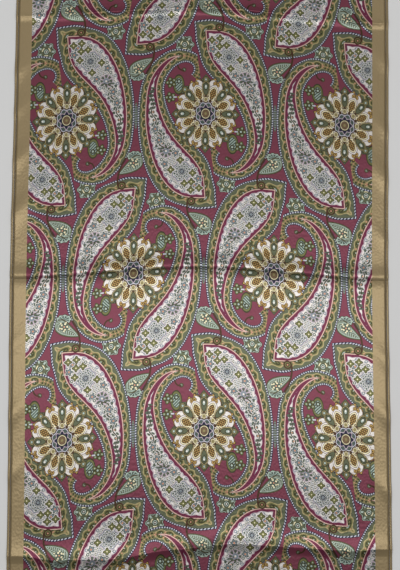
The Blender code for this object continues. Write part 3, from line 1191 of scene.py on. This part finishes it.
def make_cloth():
    """The printed cloth as a thin shell with its own map of the flat cloth."""
    columns = column_stations(WIDTH / 2 - HEM_WIDTH - SEAM_GAP)
    rows = row_stations(LENGTH / 2 - HEM_WIDTH - SEAM_GAP, ROW_SPACING)
    clear_selection()
    bpy.ops.mesh.primitive_grid_add(
        x_subdivisions=len(columns) - 1, y_subdivisions=len(rows) - 1, size=1.0
    )
    cloth = bpy.context.object
    cloth.name = "shawl_cloth"
    mesh = cloth.data
    mesh.name = "shawl_cloth"
    flat = mesh.attributes.new("laid_flat", "FLOAT_VECTOR", "POINT")
    for point in mesh.vertices:
        column = round((point.co.x + 0.5) * (len(columns) - 1))
        row = round((point.co.y + 0.5) * (len(rows) - 1))
        across, along = columns[column], rows[row]
        flat.data[point.index].vector = (across / MM, along / MM, 0.0)
        point.co = place(across, along, CLOTH_LIFT)
    wall = cloth.modifiers.new("wall", "SOLIDIFY")
    wall.thickness = CLOTH_WALL
    wall.offset = 1.0
    bpy.ops.object.modifier_apply(modifier="wall")
    flat = cloth.data.attributes["laid_flat"]
    for polygon in cloth.data.polygons:
        if polygon.normal.z > FACES_UP:
            for index in polygon.vertices:
                across_mm, along_mm, _ = flat.data[index].vector
                flat.data[index].vector = (across_mm, along_mm, 1.0)
    bpy.ops.object.shade_smooth()
    print("cloth:", len(columns), "columns,", len(rows), "rows")
    return cloth


CLOTH = make_cloth()
CLOTH.data.materials.clear()
CLOTH.data.materials.append(PRINTED_SATIN)

# %% [markdown]
# A map for baking the print
#
# When the print is baked to an image through this map, the face of the cloth gets most of
# that image and the reverse a narrow strip, because only the face is meant to be looked at.

# %% Unwrapping the cloth
REVERSE_STRIP = 0.1


def unwrap_cloth(cloth):
    """Gives the cloth a map with its face on the upper part and its reverse on the lower."""
    mesh = cloth.data
    for old in list(mesh.uv_layers):
        mesh.uv_layers.remove(old)
    baked = mesh.uv_layers.new(name="OFBake")
    flat = mesh.attributes["laid_flat"]
    for polygon in mesh.polygons:
        is_face = polygon.normal.z > FACES_UP
        low, high = (REVERSE_STRIP + 0.01, 0.998) if is_face else (0.002, REVERSE_STRIP)
        for corner in polygon.loop_indices:
            across_mm, along_mm, _ = flat.data[mesh.loops[corner].vertex_index].vector
            share_across = across_mm * MM / WIDTH + 0.5
            share_along = along_mm * MM / LENGTH + 0.5
            baked.data[corner].uv = (0.002 + 0.996 * share_across, low + (high - low) * share_along)


unwrap_cloth(CLOTH)

# %% [markdown]
# The rolled hem
#
# A hem on a satin shawl is rolled to a thin cord and caught with a slanting stitch every few
# millimetres. Each stitch nips the roll a little. The roll here is a curve with an oval section,
# made a mesh, whose points are then drawn in at every stitch along the same slant.

# %% Plain gold satin for the hems and thread for the stitches
STITCH_STEP = 4.6 * MM
THREAD_DARK = "#6b5a3b"
THREAD_PALE = "#8a7750"
THREAD_ROUGHNESS = 0.8
THREAD_FUZZ = 0.2


def make_plain_satin():
    """The gold satin of the hems: the same cloth in one colour, a little darker in random patches."""
    finish, shader = new_finish("plain gold satin")
    spot = node("TexCoord")[3]
    x, y, _ = node("SeparateXYZ", node("VectorMath.SCALE", spot, None, 1 / MM))
    shade = node("TexNoise", node("CombineXYZ", x / 3.0, y / 3.0, 0.0), None, 1.0, 2.0)[0]
    colour = node("Mix", shade, PLAIN_GOLD_DEEP, PLAIN_GOLD, data_type="RGBA")
    tree = board["tree"]
    tree.links.new(colour.socket, shader.inputs["Base Color"])
    tree.links.new(weave_bump(x, y, HEM_BUMP).socket, shader.inputs["Normal"])
    set_satin(shader)
    return finish


def make_thread():
    """Spun polyester thread: matt, its two plies drawn as a fine stripe with painted shade between them."""
    finish, shader = new_finish("spun polyester thread")
    spot = node("TexCoord")[3]
    x, y, _ = node("SeparateXYZ", node("VectorMath.SCALE", spot, None, 1 / MM))
    # The dark stripes are painted shade in the grooves between the two plies; the pale ones are the plies.
    ply_groove_shade = node("Math.SINE", (x + y) * 12.0) * 0.5 + 0.5
    colour = node("Mix", ply_groove_shade, THREAD_DARK, THREAD_PALE, data_type="RGBA")
    board["tree"].links.new(colour.socket, shader.inputs["Base Color"])
    shader.inputs["Roughness"].default_value = THREAD_ROUGHNESS
    shader.inputs["Sheen Weight"].default_value = THREAD_FUZZ
    return finish


PLAIN_SATIN = make_plain_satin()
THREAD = make_thread()

# %% Rolling the hems
HEM_POINT_SPACING = 1.15 * MM
HEM_SIDES = 10
NIP = 0.2
NIP_SLANT = 0.8


def hem_stops(start, stop):
    """Evenly spaced places along a hem."""
    count = round((stop - start) / HEM_POINT_SPACING)
    return [start + (stop - start) * step / count for step in range(count + 1)]


def roll_hem(name, route, inwards):
    """A rolled hem along a route of (place on the table, run), nipped at every stitch."""
    rings = len(route)
    clear_selection()
    bpy.ops.mesh.primitive_grid_add(x_subdivisions=HEM_SIDES, y_subdivisions=rings - 1, size=1.0)
    hem = bpy.context.object
    hem.name = name
    hem.data.name = name
    for point in hem.data.vertices:
        side = round((point.co.x + 0.5) * HEM_SIDES)
        ring = round((point.co.y + 0.5) * (rings - 1))
        centre, run, ahead = route[ring]
        turn = TURN * side / HEM_SIDES
        beside = Vector((-ahead.y, ahead.x, 0.0)).normalized()
        phase = (run + NIP_SLANT * math.cos(turn) * inwards * HEM_WIDTH / 2) / STITCH_STEP
        full = 1.0 - NIP * (0.5 + 0.5 * math.cos(TURN * phase)) ** 2
        offset = beside * (-math.cos(turn) * HEM_WIDTH / 2 * full)
        rise = math.sin(turn) * HEM_HEIGHT / 2
        point.co = centre + offset + Vector((0.0, 0.0, rise * full if rise > 0 else rise))
    bpy.ops.object.mode_set(mode="EDIT")
    bpy.ops.mesh.select_all(action="SELECT")
    bpy.ops.mesh.remove_doubles(threshold=0.01 * MM)
    bpy.ops.mesh.select_all(action="DESELECT")
    bpy.ops.mesh.select_non_manifold()
    bpy.ops.mesh.fill_holes(sides=0)
    bpy.ops.mesh.select_all(action="SELECT")
    bpy.ops.mesh.normals_make_consistent(inside=False)
    bpy.ops.object.mode_set(mode="OBJECT")
    bpy.ops.object.shade_smooth()
    hem.data.materials.append(PLAIN_SATIN)
    return hem


# %% Routes of the four hems
def route_along(side):
    """The route of a long hem, from the near end to the far one."""
    beside = side * (WIDTH / 2 - HEM_WIDTH / 2)
    return routed([(beside, along) for along in hem_stops(-LENGTH / 2, LENGTH / 2)])


def route_across(end):
    """The route of a short hem, from the left to the right."""
    stop = WIDTH / 2 - HEM_WIDTH - CORNER_GAP
    beyond = end * (LENGTH / 2 - HEM_WIDTH / 2)
    return routed([(across, beyond) for across in hem_stops(-stop, stop)])


def routed(places):
    """Each place on the table with its run along the hem and the way ahead."""
    spots = [Vector(place(across, along, HEM_HEIGHT / 2)) for across, along in places]
    route = []
    for index, spot in enumerate(spots):
        ahead = spots[min(index + 1, len(spots) - 1)] - spots[max(index - 1, 0)]
        run = math.dist(places[0], places[index])
        route.append((spot, run, ahead))
    return route


HEMS = {
    "hem_left": roll_hem("hem_roll_left", route_along(LEFT), LEFT),
    "hem_right": roll_hem("hem_roll_right", route_along(RIGHT), RIGHT),
    "hem_far": roll_hem("hem_roll_far", route_across(1), 1),
    "hem_near": roll_hem("hem_roll_near", route_across(-1), -1),
}
print("hems:", {name: len(hem.data.polygons) for name, hem in HEMS.items()})

# %% [markdown]
# The stitches
#
# The hem is caught with a slanting stitch in every nip. Real thread is 0.2 mm thick and would
# not show at all, so this one is drawn four times as thick. One stitch is a small ring of thread
# spun half round the roll. An array repeats it, and each copy is then moved to its nip.

# %% One stitch, its array and its places
THREAD_RADIUS = 0.4 * MM
THREAD_SIDES = 5
STITCH_SECTIONS = 5
STITCH_HALF_WIDTH = 1.95 * MM
STITCH_FLATNESS = 0.66


def sew(name, route, inwards):
    """A row of slanting stitches in the nips of a hem."""
    clear_selection()
    bpy.ops.mesh.primitive_circle_add(
        vertices=THREAD_SIDES, radius=THREAD_RADIUS, location=(STITCH_HALF_WIDTH, 0.0, 0.0)
    )
    stitches = bpy.context.object
    stitches.name = name
    stitches.data.name = name
    bpy.ops.object.transform_apply(location=True)
    bpy.ops.object.mode_set(mode="EDIT")
    bpy.ops.mesh.select_all(action="SELECT")
    bpy.ops.mesh.spin(steps=STITCH_SECTIONS, angle=math.pi, center=(0.0, 0.0, 0.0), axis=(0.0, -1.0, 0.0))
    bpy.ops.mesh.select_all(action="SELECT")
    bpy.ops.mesh.remove_doubles(threshold=0.01 * MM)
    bpy.ops.mesh.select_all(action="DESELECT")
    bpy.ops.mesh.select_non_manifold()
    bpy.ops.mesh.fill_holes(sides=0)
    bpy.ops.mesh.select_all(action="SELECT")
    bpy.ops.transform.resize(value=(1.0, 1.0, STITCH_FLATNESS), center_override=(0.0, 0.0, 0.0))
    bpy.ops.mesh.normals_make_consistent(inside=False)
    bpy.ops.object.mode_set(mode="OBJECT")
    array = stitches.modifiers.new("row", "ARRAY")
    array.use_relative_offset = False
    array.use_constant_offset = True
    array.constant_offset_displace = (0.0, STITCH_STEP, 0.0)
    array.count = int(route[-1][1] / STITCH_STEP)
    bpy.ops.object.modifier_apply(modifier="row")
    rings_per_metre = (len(route) - 1) / route[-1][1]
    for point in stitches.data.vertices:
        number = round(point.co.y / STITCH_STEP)
        centre, _, ahead = route[round((number + 1) * STITCH_STEP * rings_per_metre)]
        ahead = ahead.normalized()
        beside = Vector((-ahead.y, ahead.x, 0.0)).normalized()
        slant = point.co.y - number * STITCH_STEP - point.co.x * NIP_SLANT * inwards
        point.co = centre - beside * point.co.x + ahead * slant + Vector((0.0, 0.0, point.co.z))
    bpy.ops.object.shade_smooth()
    stitches.data.materials.append(THREAD)
    return stitches


STITCHES = {
    "hem_left": sew("stitches_left", route_along(LEFT), LEFT),
    "hem_right": sew("stitches_right", route_along(RIGHT), RIGHT),
    "hem_far": sew("stitches_far", route_across(1), 1),
    "hem_near": sew("stitches_near", route_across(-1), -1),
}
print("stitches:", {name: len(row.data.polygons) for name, row in STITCHES.items()})

# %% [markdown]
# Attaching the pieces
#
# Every piece rides on the one body of this model. The cloth and the hems take the place of
# their CAD nodes, which are hidden.

# %% Pieces and the floor
FLOOR_SIZE = 8.0
FLOOR_DROP = -0.3 * MM
FLOOR_WHITE = "#fdfdfc"
FLOOR_ROUGHNESS = 0.7
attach(CLOTH, "root")
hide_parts("cloth")
for cad_name, hem in HEMS.items():
    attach(hem, "root")
    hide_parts(cad_name)
for row in STITCHES.values():
    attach(row, "root")

clear_selection()
bpy.ops.mesh.primitive_plane_add(size=FLOOR_SIZE, location=(0.0, 0.0, FLOOR_DROP))
floor = bpy.context.object
floor.name = "floor"
floor_finish, floor_shader = new_finish("pale painted board")
floor_shader.inputs["Base Color"].default_value = to_linear(FLOOR_WHITE)
floor_shader.inputs["Roughness"].default_value = FLOOR_ROUGHNESS
floor.data.materials.append(floor_finish)
